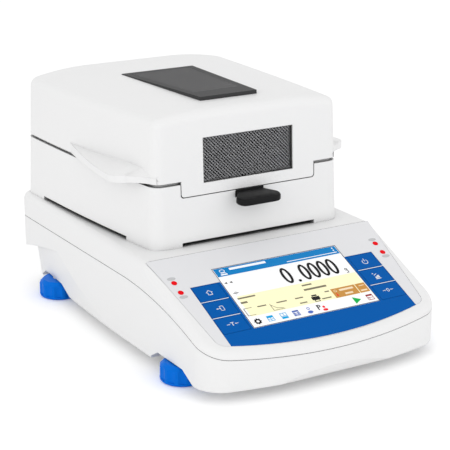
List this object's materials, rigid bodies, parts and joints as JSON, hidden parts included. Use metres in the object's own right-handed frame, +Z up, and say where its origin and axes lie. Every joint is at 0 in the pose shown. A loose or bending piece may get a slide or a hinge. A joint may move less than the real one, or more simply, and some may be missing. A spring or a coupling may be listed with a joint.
{
  "type": "moisture analyzer",
  "caption": "Bench moisture analyzer: a weighing base with a sloped touch panel and side keys, a drying chamber with a hinged heater lid, and levelling feet.",
  "frame": {"origin": "middle of the instrument's plan outline on the surface that its feet stand on", "axes": "+X to the right seen from the front, +Y to the rear (the panel faces -Y), +Z up"},
  "size_m": [0.22, 0.3348, 0.1857],
  "materials": {
    "casing_white": "fine satin moulded plastic",
    "panel_grey": "smooth satin",
    "overlay_blue": "smooth printed film",
    "display_glass": "smooth touch surface",
    "sheet_steel": "brushed",
    "lens_red": "clear tinted",
    "board_green": "solder mask",
    "cell_aluminium": "milled",
    "supply_case": "satin paint",
    "black_plastic": "satin",
    "insulation_board": "pressed fibre board",
    "ceramic": "unglazed",
    "quartz": "clear",
    "level_glass": "clear tinted",
    "vent_grey": "satin",
    "mesh_dark": "perforated",
    "carrier_steel": "brushed",
    "foot_blue": "smooth satin gloss"
  },
  "bodies": {
    "base": {"lower_casing": "casing_white", "upper_casing": "casing_white", "panel_frame": "panel_grey", "keypad_overlay": "overlay_blue", "display_glass": "display_glass", "display_module": "sheet_steel", "proximity_lenses": "lens_red", "keypad_board": "board_green", "main_board": "board_green", "power_supply": "supply_case", "load_cell_base": "cell_aluminium", "load_cell": "cell_aluminium", "pan_shaft": "sheet_steel", "rear_panel": "supply_case", "mains_inlet": "black_plastic", "data_ports": "sheet_steel", "switch_frame": "black_plastic", "casing_screws": "sheet_steel", "chamber_casing": "casing_white", "chamber_liner": "sheet_steel", "insulation": "insulation_board", "draft_ring": "sheet_steel", "pan_support": "sheet_steel", "temperature_sensor": "sheet_steel", "bubble_level": "level_glass", "hinge_brackets": "sheet_steel", "hinge_pins": "sheet_steel"},
    "lid": {"lid_casing": "casing_white", "lid_liner": "sheet_steel", "reflector": "cell_aluminium", "lamp_tubes": "quartz", "lamp_sockets": "ceramic", "protective_glass": "quartz", "glass_clips": "sheet_steel", "vent_cover": "vent_grey", "window_glass": "quartz", "window_mesh": "mesh_dark", "lid_handle": "black_plastic", "hinge_lugs": "sheet_steel"},
    "pan": {"sample_pan": "cell_aluminium", "pan_handle": "carrier_steel"},
    "rocker": {"switch_rocker": "black_plastic"},
    "key_home": {"key_home": "overlay_blue"},
    "key_enter": {"key_enter": "overlay_blue"},
    "key_tare": {"key_tare": "overlay_blue"},
    "key_power": {"key_power": "overlay_blue"},
    "key_lid": {"key_lid": "overlay_blue"},
    "key_zero": {"key_zero": "overlay_blue"},
    "foot_stud_fl": {"foot_stud_fl": "sheet_steel"},
    "foot_knob_fl": {"foot_knob_fl": "foot_blue"},
    "foot_stud_fr": {"foot_stud_fr": "sheet_steel"},
    "foot_knob_fr": {"foot_knob_fr": "foot_blue"},
    "foot_stud_rl": {"foot_stud_rl": "sheet_steel"},
    "foot_knob_rl": {"foot_knob_rl": "foot_blue"},
    "foot_stud_rr": {"foot_stud_rr": "sheet_steel"},
    "foot_knob_rr": {"foot_knob_rr": "foot_blue"}
  },
  "joints": [
    {"name": "lid_hinge", "type": "hinge", "parent": "base", "child": "lid", "pos_m": [0, 0.16, 0.132], "axis": [-1, 0, 0], "range_deg": [0, 75]},
    {"name": "pan_lift", "type": "slide", "parent": "base", "child": "pan", "axis": [0, 0, 1], "range_m": [0, 0.01]},
    {"name": "power_rocker", "type": "hinge", "parent": "base", "child": "rocker", "pos_m": [0.024, 0.1605, 0.055], "axis": [-1, 0, 0], "range_deg": [0, 16]},
    {"name": "key_home_press", "type": "slide", "parent": "base", "child": "key_home", "axis": [0, 0.3995, -0.9167], "range_m": [0, 0.0005], "stiffness_N_per_m": 1500, "springref_m": -0.0002},
    {"name": "key_enter_press", "type": "slide", "parent": "base", "child": "key_enter", "axis": [0, 0.3995, -0.9167], "range_m": [0, 0.0005], "stiffness_N_per_m": 1500, "springref_m": -0.0002},
    {"name": "key_tare_press", "type": "slide", "parent": "base", "child": "key_tare", "axis": [0, 0.3995, -0.9167], "range_m": [0, 0.0005], "stiffness_N_per_m": 1500, "springref_m": -0.0002},
    {"name": "key_power_press", "type": "slide", "parent": "base", "child": "key_power", "axis": [0, 0.3995, -0.9167], "range_m": [0, 0.0005], "stiffness_N_per_m": 1500, "springref_m": -0.0002},
    {"name": "key_lid_press", "type": "slide", "parent": "base", "child": "key_lid", "axis": [0, 0.3995, -0.9167], "range_m": [0, 0.0005], "stiffness_N_per_m": 1500, "springref_m": -0.0002},
    {"name": "key_zero_press", "type": "slide", "parent": "base", "child": "key_zero", "axis": [0, 0.3995, -0.9167], "range_m": [0, 0.0005], "stiffness_N_per_m": 1500, "springref_m": -0.0002},
    {"name": "foot_height_fl", "type": "slide", "parent": "base", "child": "foot_stud_fl", "axis": [0, 0, -1], "range_m": [0, 0.005]},
    {"name": "foot_turn_fl", "type": "hinge", "parent": "foot_stud_fl", "child": "foot_knob_fl", "pos_m": [-0.093, -0.1013, 0.01], "axis": [0, 0, 1], "range_deg": [0, 1800]},
    {"name": "foot_height_fr", "type": "slide", "parent": "base", "child": "foot_stud_fr", "axis": [0, 0, -1], "range_m": [0, 0.005]},
    {"name": "foot_turn_fr", "type": "hinge", "parent": "foot_stud_fr", "child": "foot_knob_fr", "pos_m": [0.093, -0.1013, 0.01], "axis": [0, 0, 1], "range_deg": [0, 1800]},
    {"name": "foot_height_rl", "type": "slide", "parent": "base", "child": "foot_stud_rl", "axis": [0, 0, -1], "range_m": [0, 0.005]},
    {"name": "foot_turn_rl", "type": "hinge", "parent": "foot_stud_rl", "child": "foot_knob_rl", "pos_m": [-0.093, 0.1098, 0.01], "axis": [0, 0, 1], "range_deg": [0, 1800]},
    {"name": "foot_height_rr", "type": "slide", "parent": "base", "child": "foot_stud_rr", "axis": [0, 0, -1], "range_m": [0, 0.005]},
    {"name": "foot_turn_rr", "type": "hinge", "parent": "foot_stud_rr", "child": "foot_knob_rr", "pos_m": [0.093, 0.1098, 0.01], "axis": [0, 0, 1], "range_deg": [0, 1800]}
  ],
  "couplings": [
    {"joint": "foot_height_fl", "follows": "foot_turn_fl", "m_per_rad": 0.00015915},
    {"joint": "foot_height_fr", "follows": "foot_turn_fr", "m_per_rad": 0.00015915},
    {"joint": "foot_height_rl", "follows": "foot_turn_rl", "m_per_rad": 0.00015915},
    {"joint": "foot_height_rr", "follows": "foot_turn_rr", "m_per_rad": 0.00015915}
  ]
}
